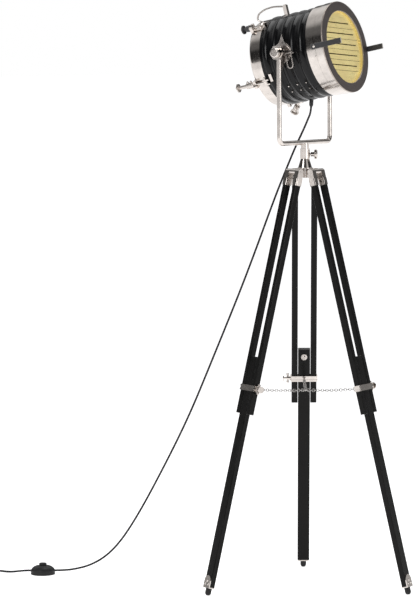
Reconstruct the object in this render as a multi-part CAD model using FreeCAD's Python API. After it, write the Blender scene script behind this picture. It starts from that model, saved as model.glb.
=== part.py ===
import FreeCAD, Part

import math
import os

# Tripod spotlight floor lamp. Millimetres, +Z up, +X to the right and +Y to the back.
# The origin is the floor point under the mast axis.

V = FreeCAD.Vector
X_AXIS = V(1, 0, 0)
Y_AXIS = V(0, 1, 0)
Z_AXIS = V(0, 0, 1)

# ---- clearances ----
RUNNING_FIT = 0.05      # radial, between a pin or screw and its bore
BODY_GAP = 0.3          # between faces of pieces that move past each other
KNUCKLE_GAP = 0.5       # between the knuckles of a hinge
FACE_GAP = 0.15         # half the gap between the cord stretches of two bodies

# ---- tripod ----
LEG_AZIMUTHS = {"back": 90, "left": 210, "right": 330}
HINGE_RADIUS = 30.0     # from the mast axis to a leg's hinge pin
HINGE_HEIGHT = 1003.0
SPLAY = 13.8            # degrees between a leg and the mast
RAIL_PITCH = 46.5       # between the centres of a leg's two rails
RAIL_WIDTH = 15.0
RAIL_DEPTH = 14.0
RAIL_TOP = 24.0         # along the leg, from the hinge
RAIL_END = 592.0
RAIL_ROUNDING = 2.0
FERRULE_WALL = 1.5
FERRULE_TOP = 17.0
FERRULE_END = 34.0
KNUCKLE_RADIUS = 7.0
KNUCKLE_SPAN = 62.0     # over both outer knuckles
HUB_KNUCKLE = 26.0
PIN_RADIUS = 3.0
PIN_HEAD_RADIUS = 5.0
PIN_HEAD_LENGTH = 2.5
SLIDER_WIDTH = 29.5
SLIDER_DEPTH = 13.0
SLIDER_TOP = 453.0
SLIDER_END = 1013.0
STOP_SCREW_DROP = 20.0  # from the slider's top to its stop screw
STOP_WASHER_RADIUS = 7.5
STOP_WASHER_LENGTH = 2.0
STOP_HEAD_RADIUS = 4.0
STOP_HEAD_LENGTH = 1.8
PLATE_WIDTH = 27.0
PLATE_RISE = 28.0       # from the slider's end to the top of the round
PLATE_THICKNESS = 2.5
PLATE_SCREW_RADIUS = 3.2
PLATE_SCREW_LENGTH = 1.6
FOOT_RADIUS = 7.25
FOOT_FLAT = 0.75        # how much of the rubber's round end is flat on the floor

# ---- clamp ----
CLAMP_CENTRE = 529.3    # along the leg, from the hinge
CLAMP_HEIGHT = 14.0
CLAMP_WALL = 1.5
CLAMP_RIDGE = 1.0       # how far the two ridges stand out
CLAMP_RIDGE_HEIGHT = 4.5
CLAMP_BOSS_RADIUS = 5.5
CLAMP_BOSS_LENGTH = 4.0
CLAMP_SCREW_RADIUS = 2.5
WING_SPAN = 26.0
WING_THICKNESS = 5.0
WING_RADIUS = 2.1
WING_BALL_RADIUS = 3.4
CLAMP_STEM_LENGTH = 7.0
CLAMP_DISC_RADIUS = 8.0
CLAMP_DISC_LENGTH = 2.5

# ---- chain ----
LINK_WIRE = 1.5
LINK_INNER_LENGTH = 6.4
LINK_OUTER_WIDTH = 8.0
LINK_SLACK = 0.1        # least play between two links
EYE_REACH = 4.5         # from the clamp band to the eye's hole
EYE_HOLE_RADIUS = 1.6
EYE_RADIUS = 3.2
EYE_THICKNESS = 2.4
CHAIN_RING_RADIUS = 6.0
CHAIN_RING_WIRE = 2.0
CHAIN_SAG = 10.0

# ---- hub and mast ----
HUB_RADIUS = 20.0
HUB_BOTTOM = 996.0
HUB_TOP = 1012.0
HUB_ARM_HEIGHT = 12.0
HUB_NUT_RADIUS = 11.0
HUB_NUT_LENGTH = 8.0
CONE_BOTTOM_RADIUS = 17.0
CONE_TOP_RADIUS = 10.5
CONE_TOP = 1033.0
SOCKET_RADIUS = 11.75
SOCKET_TOP = 1058.0
SPIGOT_RADIUS = 8.0
SPIGOT_BOTTOM = 1026.0
COLLAR_RADIUS = 10.0
MAST_SCREW_HEIGHT = 1044.0
MAST_SCREW_RADIUS = 2.5
MAST_SCREW_NECK_RADIUS = 5.5
MAST_SCREW_NECK_LENGTH = 8.0
MAST_SCREW_NECK_GAP = 2.0
MAST_KNOB_RADIUS = 11.5
MAST_KNOB_LENGTH = 8.0

# ---- yoke ----
YAW = 30.5              # degrees that the head is turned from +X towards the front
YOKE_SPAN = 250.0       # between the centres of the arms
YOKE_BAR_RADIUS = 6.0
YOKE_BEND_RADIUS = 14.0
YOKE_BAR_HEIGHT = 1072.5
TRUNNION_HEIGHT = 1287.0
ARM_EYE_RADIUS = 10.0
ARM_EYE_WIDTH = 10.0
SADDLE_DEPTH = 1.5      # that the bar sits down in its collar
TRUNNION_PIN_RADIUS = 4.0
TRUNNION_PIN_IN_KNOB = 10.0
KNOB_FLANGE_RADIUS = 18.5
KNOB_FLANGE_LENGTH = 6.0
KNOB_CORNER_SHARE = 0.3
KNOB_NECK_RADIUS = 9.0
KNOB_NECK_LENGTH = 2.0
KNOB_CAP_RADIUS = 11.5
KNOB_CAP_LENGTH = 11.0
KNOB_CAP_ROUNDING = 2.5

# ---- head, along its own beam axis from the trunnion line ----
PITCH = 11.0            # degrees that the beam points up
HEAD_DROP = 8.0         # from the trunnion line down to the beam axis
DRUM_ROLL = 3.0         # degrees that the drum is turned on the beam axis, its near side up
DRUM_RADIUS = 103.0     # in the valleys between the ribs
DRUM_WALL = 2.5
DRUM_HALF_LENGTH = 65.0
RIB_COUNT = 5
RIB_PITCH = 24.0
RIB_MIDDLE_AT = -2.0
RIB_HEIGHT = 4.0
RIB_WIDTH = 19.0
BAND_REAR_RADIUS = 109.0
BAND_RADIUS = 110.0
BAND_STEP_AT = 88.0
BAND_END = 108.0
BAND_WALL = 3.0
BAND_SEAM_WIDTH = 1.0
BAND_SEAM_DEPTH = 0.8
FACE_THICKNESS = 3.0
FACE_OPENING_RADIUS = 87.0
REFLECTOR_WALL = 1.5
LOUVRE_AT = 102.0
LOUVRE_COUNT = 10
LOUVRE_PITCH = 12.8
LOUVRE_RISE = 2.0       # of the slots' middle over the beam axis
WIDE_SLOT_HEIGHT = 2.6
NARROW_SLOT_HEIGHT = 1.0
WIDE_SLOT_SHORTFALL = 14.0  # from the end of a wide slot to the plate's edge
NARROW_SLOT_SHORTFALL = 2.0
REAR_RING_END = -95.0
REAR_RING_RADIUS = 104.0
REAR_RING_WALL = 4.0
REAR_RING_ROUNDING = 6.0
REAR_DOME_DEPTH = 17.0
REAR_DOME_WALL = 2.0
BAR_HEIGHT = 12.5
BAR_THICKNESS = 3.5
BAR_START = 80.0
BAR_ENDS = {-1: 161.0, 1: 152.0}  # by side, near and far
BAR_SCREW_AT = 87.0
BAR_SCREW_RADIUS = 3.5
BAR_SCREW_LENGTH = 2.0
BAND_RIVET_ANGLE = 12.0
RIVET_RADIUS = 1.6
RIVET_LENGTH = 1.2
RIVET_ANGLES = (44.0, 54.0)
RIVETS_AT = (-14.0, 10.0, 34.0)
TRUNNION_PLATE_AT = 109.0
TRUNNION_PLATE_THICKNESS = 4.0
TRUNNION_PLATE_LENGTH = 65.0
TRUNNION_PLATE_HEIGHT = 89.0
TRUNNION_PLATE_HOLLOW = 0.7  # share of the sharper tips' half angle that the hollow sides take
TRUNNION_PAD_RADIUS = 24.0
TRUNNION_BOSS_RADIUS = 9.0
LOOP_WIRE_RADIUS = 1.5
LOOP_BAR_RADIUS = 1.9
LOOP_WIDTH = 17.0
LOOP_LENGTH = 31.0
LOOP_AT = 18.5
LOOP_TOP = -11.0
LOOP_SCREW_AT = V(19, 0, -6)
LOOP_SCREW_RADIUS = 3.6
HANDLE_ANGLE = -80.0    # from the near side, up over the drum
HANDLE_ROD_RADIUS = 2.0
HANDLE_REAR = (-90.0, 102.0)    # along the beam and from its axis
HANDLE_KNEE = (-106.0, 108.0)
HANDLE_BACK = (-99.0, 122.0)
HANDLE_RISE = (-80.0, 130.0)
HANDLE_TOP = (-56.0, 132.0)
HANDLE_FRONT = (-27.0, 127.0)
HANDLE_LUG_LENGTH = 9.0
HANDLE_LUG_WIDTH = 10.0
HANDLE_LUG_RISE = 129.0
LATCH_START = -50.0
LATCH_LENGTH = 19.0     # round the drum
LATCH_ANGLE = 26.0
LATCH_WIDTH = 7.0
LATCH_THICKNESS = 4.0

# ---- swing bolts that hold the rear ring ----
SWING_BOLTS = {  # angle below the near side, length, lean away from the drum, length of the nut's sleeve
    "a": (30.0, 77.0, 0.0, 20.0),
    "b": (-48.0, 52.0, 0.0, 10.0),
    "c": (120.0, 36.0, 45.0, 14.0),
    "d": (210.0, 58.0, 0.0, 14.0),
}
SWING_PIVOT_AT = -64.0
SWING_RADIUS = 111.0
SWING_PIVOT_RADIUS = 2.5
SWING_PIVOT_LENGTH = 24.0
SWING_EYE_RADIUS = 5.5
SWING_EYE_LENGTH = 8.0
SWING_BOLT_RADIUS = 3.0
SWING_BRACKET_THICKNESS = 3.0
SWING_LUG_WIDTH = 18.0
SWING_LUG_LENGTH = 8.0
SWING_LUG_RISE = 117.0
NUT_RADIUS = 7.5
NUT_WING_RADIUS = 10.5
NUT_WING_LENGTH = 3.0
NUT_WING_WAIST = 4.6
NUT_WING_GAP = 5.0
NUT_STUD_RADIUS = 2.6
NUT_STUD_RISE = 4.0
BOLT_TIP_RADIUS = 3.6

# ---- lamp inside the head ----
BULB_RADIUS = 28.0
BULB_NECK_RADIUS = 13.0
BULB_CENTRE = 4.0
BULB_NECK_END = -45.0
HOLDER_RADIUS = 20.0
HOLDER_START = -58.0
HOLDER_END = -30.0
BRACKET_THICKNESS = 3.0
BRACKET_WIDTH = 24.0

# ---- cable gland and cord ----
GLAND_AT = -4.0
GLAND_TILT = 15.0
GLAND_RADIUS = 5.0
GLAND_THREAD_RADIUS = 3.6
GLAND_LENGTH = 15.0
GLAND_CAP_LENGTH = 4.0
GLAND_RUN = 14.0        # that the cord goes straight on from the gland
CORD_RADIUS = 2.5
HEAD_CORD_CUT = 172.0   # distance from the trunnion line where the head's stretch of cord ends
YOKE_CORD_CUT = 1064.0  # height where the yoke's stretch of cord ends
BEND_SHARE = 0.45       # of the shorter run, that an arc takes

CORD_POINTS = [
    (8.0, -3.5, 1130),
    (-1.5, 4.5, 1107),
    (-14, 13.5, 1080),
    (-29, 23, 1046),
    (-46, 32, 1004),
    (-66, 42, 954),
    (-88, 52, 895),
    (-112, 61, 829),
    (-137, 69, 762),
    (-163, 77, 695),
    (-190, 85, 628),
    (-217, 92, 562),
    (-243.5, 99, 497),
    (-270, 106, 433),
    (-299, 113, 369),
    (-330, 120, 306),
    (-362, 127, 244),
    (-394, 134, 184),
    (-426, 141, 129),
    (-458, 149, 82),
    (-492, 157, 47),
    (-531, 165, 24),
    (-571, 173, 13),
    (-600, 179, 9.5),
]

# ---- foot switch and what lies beyond it ----
SWITCH_CENTRE = V(-649, 179, 0)
SWITCH_RADIUS = 30.0
SWITCH_BASE_HEIGHT = 7.0
SWITCH_HEIGHT = 22.0
SWITCH_TOP_RADIUS = 15.0
SWITCH_CORD_HEIGHT = 9.5
BUTTON_RADIUS = 9.5
BUTTON_RISE = 6.5
BUTTON_TRAVEL = 3.0

TAIL_POINTS = [
    (-692, 179, 9.5),
    (-709, 182.5, 7.4),
    (-727, 192, 4.2),
    (-744, 206, 2.8),
    (-758, 218.5, 2.5),
    (-774, 226.5, 2.5),
]

COIL_CENTRE = V(-797, 192, 0)
COIL_OUTER_RADIUS = 34.5
COIL_PITCH = 6.6        # between neighbouring turns of a layer
COIL_LIFT = 6.2         # between the two layers
COIL_HALF_TURNS = 5     # in the lower layer
COIL_TOP_HALF_TURNS = 4
PLUG_RELIEF_LENGTH = 28.0
PLUG_RELIEF_RADIUS = 4.5
PLUG_LENGTH = 36.0
PLUG_WIDTH = 35.0
PLUG_THICKNESS = 15.0
PLUG_PIN_RADIUS = 2.0
PLUG_PIN_LENGTH = 19.0
PLUG_PIN_PITCH = 18.6

# ---- places that follow ----
RIB_RADIUS = DRUM_RADIUS + RIB_HEIGHT
FACE_AT = BAND_END + FACE_THICKNESS
ARM_INNER = YOKE_SPAN / 2 - YOKE_BAR_RADIUS
ARM_OUTER = YOKE_SPAN / 2 + YOKE_BAR_RADIUS
BAND_HALF_WIDTH = (RAIL_PITCH + RAIL_WIDTH) / 2
FAR_OUT = 400.0         # past every part of the head


# ---- placements ----
def leg_frame(azimuth):
    """The hinge pin is the origin, the leg runs down -Z, +X points outward and Y along the pin."""
    hinge = FreeCAD.Placement(V(HINGE_RADIUS, 0, HINGE_HEIGHT), FreeCAD.Rotation(Y_AXIS, -SPLAY))
    return FreeCAD.Placement(V(), FreeCAD.Rotation(Z_AXIS, azimuth)) * hinge


def yoke_frame():
    return FreeCAD.Placement(V(), FreeCAD.Rotation(Z_AXIS, -YAW))


def trunnion_frame():
    """+X along the beam, +Y to the far arm, and the origin where the trunnion line crosses the mast."""
    return yoke_frame() * FreeCAD.Placement(V(0, 0, TRUNNION_HEIGHT), FreeCAD.Rotation(Y_AXIS, -PITCH))


def head_frame():
    """The trunnion frame lowered to the beam axis and turned on it by the drum's roll."""
    return trunnion_frame() * FreeCAD.Placement(V(0, 0, -HEAD_DROP), FreeCAD.Rotation(X_AXIS, -DRUM_ROLL))


def placed(shape, frame):
    moved = shape.copy()
    moved.transformShape(frame.toMatrix())
    return moved


def turned(shape, angle, axis=X_AXIS, centre=V()):
    copy = shape.copy()
    copy.rotate(centre, axis, angle)
    return copy


# ---- plain shapes ----
def box(x0, x1, y0, y1, z0, z1):
    return Part.makeBox(x1 - x0, y1 - y0, z1 - z0, V(x0, y0, z0))


def rod(start, direction, radius, length):
    return Part.makeCylinder(radius, length, start, direction)


def tube(start, direction, outer, inner, length):
    return rod(start, direction, outer, length).cut(rod(start, direction, inner, length))


def spun(edges, axis=X_AXIS):
    """A solid of revolution about an axis through the origin."""
    return Part.Face(Part.Wire(edges)).revolve(V(), axis, 360)


def outline(points):
    """Straight edges from point to point, closed."""
    return [Part.LineSegment(a, b).toShape() for a, b in zip(points, points[1:] + points[:1])]


def rounded(shape, radius, axis):
    """Rounds the straight edges that run along an axis."""
    edges = [e for e in shape.Edges if len(e.Vertexes) == 2 and runs_along(e, axis)]
    return shape.makeFillet(radius, edges)


def runs_along(edge, axis):
    step = edge.Vertexes[1].Point - edge.Vertexes[0].Point
    return step.Length > 1 and step.cross(axis).Length < 1e-6


def group(shapes):
    return Part.makeCompound(shapes)


def fused(shapes):
    return shapes[0].fuse(shapes[1:]).removeSplitter()


# ---- legs, in the leg's frame ----
def leg_rails():
    rails = []
    for side in (-1, 1):
        middle = side * RAIL_PITCH / 2
        rail = box(-RAIL_DEPTH / 2, RAIL_DEPTH / 2, middle - RAIL_WIDTH / 2, middle + RAIL_WIDTH / 2,
                   -RAIL_END, -RAIL_TOP)
        rails.append(rounded(rail, RAIL_ROUNDING, Z_AXIS))
    return group(rails)


def leg_ferrules():
    """A cap on each rail, hung from its own knuckle on the hinge pin."""
    half_depth = RAIL_DEPTH / 2 + FERRULE_WALL
    half_width = RAIL_WIDTH / 2 + FERRULE_WALL
    inner_end = HUB_KNUCKLE / 2 + KNUCKLE_GAP
    knuckle_length = KNUCKLE_SPAN / 2 - inner_end
    caps = []
    for side in (-1, 1):
        middle = side * RAIL_PITCH / 2
        cap = box(-half_depth, half_depth, middle - half_width, middle + half_width,
                  -FERRULE_END, -FERRULE_TOP)
        cap = rounded(cap, RAIL_ROUNDING + FERRULE_WALL, Z_AXIS)
        start = V(0, side * inner_end, 0)
        knuckle = rod(start, Y_AXIS * side, KNUCKLE_RADIUS, knuckle_length)
        near, far = sorted((side * inner_end, side * KNUCKLE_SPAN / 2))
        web = box(-KNUCKLE_RADIUS, KNUCKLE_RADIUS, near, far, -FERRULE_TOP - 1, 0)
        cap = fused([cap, web, knuckle])
        rail = box(-RAIL_DEPTH / 2, RAIL_DEPTH / 2, middle - RAIL_WIDTH / 2, middle + RAIL_WIDTH / 2,
                   -FERRULE_END - 1, -RAIL_TOP)
        cap = cap.cut(rounded(rail, RAIL_ROUNDING, Z_AXIS))
        caps.append(cap.cut(rod(start, Y_AXIS * side, PIN_RADIUS + RUNNING_FIT, knuckle_length)))
    return group(caps)


def eye_centre():
    return V(-RAIL_DEPTH / 2 - CLAMP_WALL - CLAMP_RIDGE - EYE_REACH, 0, -CLAMP_CENTRE)


def leg_clamp():
    """A band round both rails with two ridges, a boss for the screw and an eye for the chain."""
    depth = RAIL_DEPTH / 2 + CLAMP_WALL
    width = BAND_HALF_WIDTH + CLAMP_WALL
    low = -CLAMP_CENTRE - CLAMP_HEIGHT / 2
    band = rounded(box(-depth, depth, -width, width, low, low + CLAMP_HEIGHT), RAIL_ROUNDING, Z_AXIS)
    pieces = [band]
    for start in (low, low + CLAMP_HEIGHT - CLAMP_RIDGE_HEIGHT):
        ridge = box(-depth - CLAMP_RIDGE, depth + CLAMP_RIDGE, -width - CLAMP_RIDGE, width + CLAMP_RIDGE,
                    start, start + CLAMP_RIDGE_HEIGHT)
        pieces.append(rounded(ridge, RAIL_ROUNDING + CLAMP_RIDGE, Z_AXIS))
    pieces.append(rod(V(0, width, -CLAMP_CENTRE), Y_AXIS, CLAMP_BOSS_RADIUS, CLAMP_RIDGE + CLAMP_BOSS_LENGTH))
    eye = eye_centre()
    half = V(0, EYE_THICKNESS / 2, 0)
    pieces.append(rod(eye - half, Y_AXIS, EYE_RADIUS, EYE_THICKNESS))
    pieces.append(box(eye.x, -depth, -half.y, half.y, eye.z - EYE_RADIUS, eye.z + EYE_RADIUS))
    clamp = fused(pieces)
    inside = box(-RAIL_DEPTH / 2, RAIL_DEPTH / 2, -BAND_HALF_WIDTH, BAND_HALF_WIDTH,
                 low - 1, low + CLAMP_HEIGHT + 1)
    clamp = clamp.cut(inside)
    clamp = clamp.cut(rod(V(0, 0, -CLAMP_CENTRE), Y_AXIS, CLAMP_SCREW_RADIUS + RUNNING_FIT, 2 * width))
    return clamp.cut(rod(eye - half * 2, Y_AXIS, EYE_HOLE_RADIUS, EYE_THICKNESS * 2))


def clamp_knob():
    """A wing screw with ball-ended wings and an end disc, pointing out along +Y."""
    tip = BAND_HALF_WIDTH + BODY_GAP
    wing = BAND_HALF_WIDTH + CLAMP_WALL + CLAMP_RIDGE + CLAMP_BOSS_LENGTH + BODY_GAP
    centre = V(0, wing + WING_THICKNESS / 2, -CLAMP_CENTRE)
    disc = wing + WING_THICKNESS + CLAMP_STEM_LENGTH
    screw = rod(V(0, tip, -CLAMP_CENTRE), Y_AXIS, CLAMP_SCREW_RADIUS, disc - tip)
    hub = rod(V(0, wing, -CLAMP_CENTRE), Y_AXIS, CLAMP_BOSS_RADIUS, WING_THICKNESS)
    reach = WING_SPAN / 2 - WING_BALL_RADIUS
    wings = rod(centre - Z_AXIS * reach, Z_AXIS, WING_RADIUS, 2 * reach)
    clear = box(-WING_SPAN, WING_SPAN, 0, wing, -CLAMP_CENTRE - WING_SPAN, -CLAMP_CENTRE + WING_SPAN)
    balls = [Part.makeSphere(WING_BALL_RADIUS, centre + Z_AXIS * reach * side).cut(clear) for side in (-1, 1)]
    end = rod(V(0, disc, -CLAMP_CENTRE), Y_AXIS, CLAMP_DISC_RADIUS, CLAMP_DISC_LENGTH)
    return fused([screw, hub, wings, end] + balls)


def leg_slider():
    half_width = SLIDER_WIDTH / 2
    slider = box(-SLIDER_DEPTH / 2, SLIDER_DEPTH / 2, -half_width, half_width, -SLIDER_END, -SLIDER_TOP)
    return rounded(slider, RAIL_ROUNDING, Z_AXIS)


def leg_fittings():
    """The foot plate with its screws on the outer face, and the stop screw on the inner one."""
    outer = SLIDER_DEPTH / 2
    round_at = -SLIDER_END + PLATE_RISE - PLATE_WIDTH / 2
    plate = box(outer, outer + PLATE_THICKNESS, -PLATE_WIDTH / 2, PLATE_WIDTH / 2,
                -SLIDER_END - PLATE_THICKNESS, round_at)
    top = rod(V(outer, 0, round_at), X_AXIS, PLATE_WIDTH / 2, PLATE_THICKNESS)
    sole = box(-outer, outer + PLATE_THICKNESS, -PLATE_WIDTH / 2, PLATE_WIDTH / 2,
               -SLIDER_END - PLATE_THICKNESS, -SLIDER_END)
    pieces = [fused([plate, top, sole])]
    face = outer + PLATE_THICKNESS
    for side in (-1, 1):
        middle = V(face, side * PLATE_WIDTH / 4, (round_at - SLIDER_END) / 2)
        pieces.append(domed(middle, X_AXIS, PLATE_SCREW_RADIUS, PLATE_SCREW_LENGTH))
    pieces.append(domed(V(face, 0, round_at), X_AXIS, PLATE_SCREW_RADIUS, PLATE_SCREW_LENGTH))
    stop = V(-outer, 0, -SLIDER_TOP - STOP_SCREW_DROP)
    washer = rod(stop, -X_AXIS, STOP_WASHER_RADIUS, STOP_WASHER_LENGTH)
    head = domed(stop - X_AXIS * STOP_WASHER_LENGTH, -X_AXIS, STOP_HEAD_RADIUS, STOP_HEAD_LENGTH)
    return group(pieces + [washer, head])


def domed(base, direction, radius, height):
    """A round screw head: the cap of a sphere that stands on its base circle."""
    sphere_radius = (radius ** 2 + height ** 2) / (2 * height)
    centre = base + direction * (height - sphere_radius)
    return Part.makeSphere(sphere_radius, centre).common(rod(base, direction, sphere_radius, height))


def foot_ball_centre():
    return V(0, 0, -(HINGE_HEIGHT - FOOT_RADIUS + FOOT_FLAT) / math.cos(math.radians(SPLAY)))


def leg_foot():
    top = -SLIDER_END - PLATE_THICKNESS
    ball = foot_ball_centre()
    stem = rod(ball, Z_AXIS, FOOT_RADIUS, top - ball.z)
    return fused([stem, Part.makeSphere(FOOT_RADIUS, ball)])


def on_the_floor(shape):
    """Takes off what would be under the floor."""
    low = shape.BoundBox
    return shape.cut(box(low.XMin - 1, low.XMax + 1, low.YMin - 1, low.YMax + 1, low.ZMin - 1, 0))


# ---- chain ----
def chain_link():
    """One link, long along X and flat in the XY plane."""
    half_length = (LINK_INNER_LENGTH + LINK_WIRE) / 2
    bend = (LINK_OUTER_WIDTH - LINK_WIRE) / 2
    half_side = half_length - bend
    front = Part.makeTorus(bend, LINK_WIRE / 2, V(half_side, 0, 0), Z_AXIS, 0, 360, 180)
    front.rotate(V(half_side, 0, 0), Z_AXIS, -90)
    back = front.copy()
    back.rotate(V(), Z_AXIS, 180)
    sides = [rod(V(-half_side, side * bend, 0), X_AXIS, LINK_WIRE / 2, 2 * half_side) for side in (-1, 1)]
    return fused([front, back] + sides)


def chain_height(radius, eye_radius, eye_height):
    """The height of the chain's middle line, which is level where the three spans meet."""
    return eye_height - CHAIN_SAG * (1 - (radius / eye_radius) ** 2)


def leg_chain(azimuth):
    """Links from the clamp's eye in to the centre ring, every second one stood on edge."""
    eye = leg_frame(0).multVec(eye_centre())
    inner = CHAIN_RING_RADIUS - (CHAIN_RING_WIRE + LINK_WIRE) / 2 - LINK_SLACK
    half_length = (LINK_INNER_LENGTH + LINK_WIRE) / 2
    steps = 200
    radii = [eye.x + (inner - eye.x) * k / steps for k in range(steps + 1)]
    line = [V(r, 0, chain_height(r, eye.x, eye.z)) for r in radii]
    length = sum((b - a).Length for a, b in zip(line, line[1:]))
    widest = LINK_INNER_LENGTH - LINK_SLACK
    count = 2 * math.ceil(((length - 2 * half_length) / widest + 1) / 2)
    pitch = (length - 2 * half_length) / (count - 1)
    link = chain_link()
    links = []
    for k in range(count):
        share = (half_length + k * pitch) / length
        at = eye.x + (inner - eye.x) * share
        slope = 2 * CHAIN_SAG * at / eye.x ** 2
        copy = turned(link, 90 * (k % 2))
        copy = turned(copy, -math.degrees(math.atan(slope)), Y_AXIS)
        copy.translate(V(at, 0, chain_height(at, eye.x, eye.z)))
        links.append(turned(copy, azimuth, Z_AXIS))
    return group(links)


def chain_ring():
    eye = leg_frame(0).multVec(eye_centre())
    return Part.makeTorus(CHAIN_RING_RADIUS, CHAIN_RING_WIRE / 2, V(0, 0, eye.z - CHAIN_SAG), Z_AXIS)


# ---- hub and mast ----
def hub():
    pieces = [rod(V(0, 0, HUB_BOTTOM), Z_AXIS, HUB_RADIUS, HUB_TOP - HUB_BOTTOM)]
    pieces.append(rod(V(0, 0, HUB_BOTTOM - HUB_NUT_LENGTH), Z_AXIS, HUB_NUT_RADIUS, HUB_NUT_LENGTH))
    half = HUB_KNUCKLE / 2
    for azimuth in LEG_AZIMUTHS.values():
        arm = box(0, HINGE_RADIUS, -half, half, HINGE_HEIGHT - HUB_ARM_HEIGHT / 2,
                  HINGE_HEIGHT + HUB_ARM_HEIGHT / 2)
        knuckle = rod(V(HINGE_RADIUS, -half, HINGE_HEIGHT), Y_AXIS, KNUCKLE_RADIUS, HUB_KNUCKLE)
        pieces.append(turned(arm, azimuth, Z_AXIS))
        pieces.append(turned(knuckle, azimuth, Z_AXIS))
    body = fused(pieces)
    for azimuth in LEG_AZIMUTHS.values():
        start = V(HINGE_RADIUS, -half - 1, HINGE_HEIGHT)
        bore = rod(start, Y_AXIS, PIN_RADIUS + RUNNING_FIT, HUB_KNUCKLE + 2)
        body = body.cut(turned(bore, azimuth, Z_AXIS))
    return body


def hinge_pins():
    pins = []
    half = KNUCKLE_SPAN / 2 + BODY_GAP
    for azimuth in LEG_AZIMUTHS.values():
        pin = rod(V(HINGE_RADIUS, -half, HINGE_HEIGHT), Y_AXIS, PIN_RADIUS, 2 * half)
        ends = [(V(HINGE_RADIUS, side * half, HINGE_HEIGHT), Y_AXIS * side) for side in (-1, 1)]
        heads = [domed(end, outward, PIN_HEAD_RADIUS, PIN_HEAD_LENGTH) for end, outward in ends]
        pins.append(turned(fused([pin] + heads), azimuth, Z_AXIS))
    return group(pins)


def mast_socket():
    profile = [
        V(0, 0, HUB_TOP),
        V(CONE_BOTTOM_RADIUS, 0, HUB_TOP),
        V(CONE_TOP_RADIUS, 0, CONE_TOP),
        V(SOCKET_RADIUS, 0, CONE_TOP + 1),
        V(SOCKET_RADIUS, 0, SOCKET_TOP),
        V(0, 0, SOCKET_TOP),
    ]
    body = spun(outline(profile), Z_AXIS)
    floor = SPIGOT_BOTTOM - BODY_GAP
    body = body.cut(rod(V(0, 0, floor), Z_AXIS, SPIGOT_RADIUS + RUNNING_FIT, SOCKET_TOP - floor))
    hole = rod(V(0, 0, MAST_SCREW_HEIGHT), X_AXIS, MAST_SCREW_RADIUS + RUNNING_FIT, 2 * SOCKET_RADIUS)
    return body.cut(hole)


def mast_thumbscrew():
    """The thumb screw that holds the yoke's spigot, pointing out along +X."""
    tip = SPIGOT_RADIUS + BODY_GAP
    neck = SOCKET_RADIUS + MAST_SCREW_NECK_GAP
    knob = neck + MAST_SCREW_NECK_LENGTH
    start = V(tip, 0, MAST_SCREW_HEIGHT)
    pieces = [rod(start, X_AXIS, MAST_SCREW_RADIUS, neck - tip)]
    pieces.append(rod(V(neck, 0, MAST_SCREW_HEIGHT), X_AXIS, MAST_SCREW_NECK_RADIUS, MAST_SCREW_NECK_LENGTH))
    disc = rod(V(knob, 0, MAST_SCREW_HEIGHT), X_AXIS, MAST_KNOB_RADIUS, MAST_KNOB_LENGTH)
    pieces.append(disc.makeFillet(MAST_KNOB_LENGTH * 0.4, [e for e in disc.Edges if e.Closed]))
    return fused(pieces)


# ---- yoke, in the yoke's frame ----
def yoke():
    """One bent bar with an eye on each arm, on a collar and a spigot."""
    bar = swept(yoke_path(), YOKE_BAR_RADIUS)
    half = YOKE_SPAN / 2
    starts = [V(0, side * half - ARM_EYE_WIDTH / 2, TRUNNION_HEIGHT) for side in (-1, 1)]
    eyes = [rod(start, Y_AXIS, ARM_EYE_RADIUS, ARM_EYE_WIDTH) for start in starts]
    collar_bottom = SOCKET_TOP + BODY_GAP
    collar_top = YOKE_BAR_HEIGHT - YOKE_BAR_RADIUS + SADDLE_DEPTH
    collar = rod(V(0, 0, collar_bottom), Z_AXIS, COLLAR_RADIUS, collar_top - collar_bottom)
    spigot = rod(V(0, 0, SPIGOT_BOTTOM), Z_AXIS, SPIGOT_RADIUS, YOKE_BAR_HEIGHT - SPIGOT_BOTTOM)
    frame = fused([bar, collar, spigot] + eyes)
    pins = rod(V(0, -half - ARM_EYE_RADIUS, TRUNNION_HEIGHT), Y_AXIS, TRUNNION_PIN_RADIUS + RUNNING_FIT,
               YOKE_SPAN + 2 * ARM_EYE_RADIUS)
    return frame.cut(pins)


def yoke_path():
    half = YOKE_SPAN / 2
    bend = YOKE_BEND_RADIUS
    low = YOKE_BAR_HEIGHT
    arm_top = TRUNNION_HEIGHT - ARM_EYE_RADIUS / 2
    diagonal = bend * (1 - math.sqrt(0.5))
    near = [V(0, -half, arm_top), V(0, -half, low + bend), V(0, -half + bend, low)]
    far = [V(0, half - bend, low), V(0, half, low + bend), V(0, half, arm_top)]
    return Part.Wire([
        Part.LineSegment(near[0], near[1]).toShape(),
        Part.Arc(near[1], V(0, -half + diagonal, low + diagonal), near[2]).toShape(),
        Part.LineSegment(near[2], far[0]).toShape(),
        Part.Arc(far[0], V(0, half - diagonal, low + diagonal), far[1]).toShape(),
        Part.LineSegment(far[1], far[2]).toShape(),
    ])


def swept(path, radius):
    """A round bar along a path that starts straight."""
    start = path.OrderedEdges[0]
    direction = start.tangentAt(start.FirstParameter)
    circle = Part.Wire(Part.Circle(start.valueAt(start.FirstParameter), direction, radius).toShape())
    shell = Part.BRepOffsetAPI.MakePipeShell(path)
    shell.add(circle)
    shell.build()
    shell.makeSolid()
    return shell.shape()


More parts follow.
